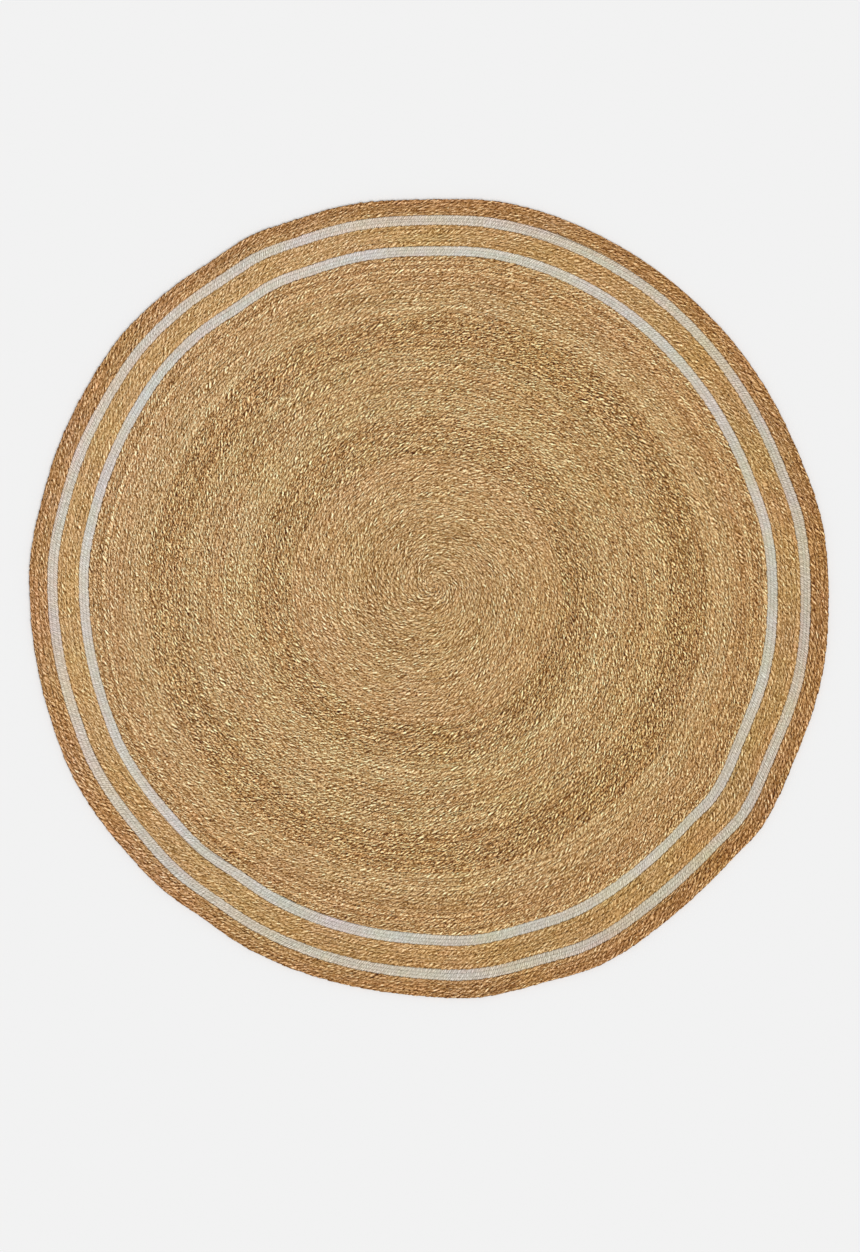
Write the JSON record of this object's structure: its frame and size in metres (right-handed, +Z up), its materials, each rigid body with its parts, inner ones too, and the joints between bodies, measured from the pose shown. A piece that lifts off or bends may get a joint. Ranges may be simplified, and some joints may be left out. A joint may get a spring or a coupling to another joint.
{
  "type": "round seagrass rug",
  "caption": "Round flat rug of coiled twisted seagrass cord with pale cord stripes near its rim, for a floor.",
  "frame": {"origin": "middle of the rug's box on the floor, under the rug", "axes": "+Z up out of the floor, +X to the right and +Y to the top of the rug seen from above"},
  "size_m": [1.4982, 1.4972, 0.008],
  "materials": {
    "seagrass": "dry twisted seagrass, matt with a faint straw sheen",
    "seagrass_golden": "golden twisted seagrass, matt with a faint straw sheen",
    "seagrass_border": "reddish brown twisted seagrass, matt",
    "pale_cord": "pale grey-cream spun cord, matt"
  },
  "bodies": {
    "root": {"field": "seagrass", "inner_stripe": "pale_cord", "middle_ring": "seagrass_golden", "outer_stripe": "pale_cord", "border": "seagrass_border"}
  },
  "joints": []
}
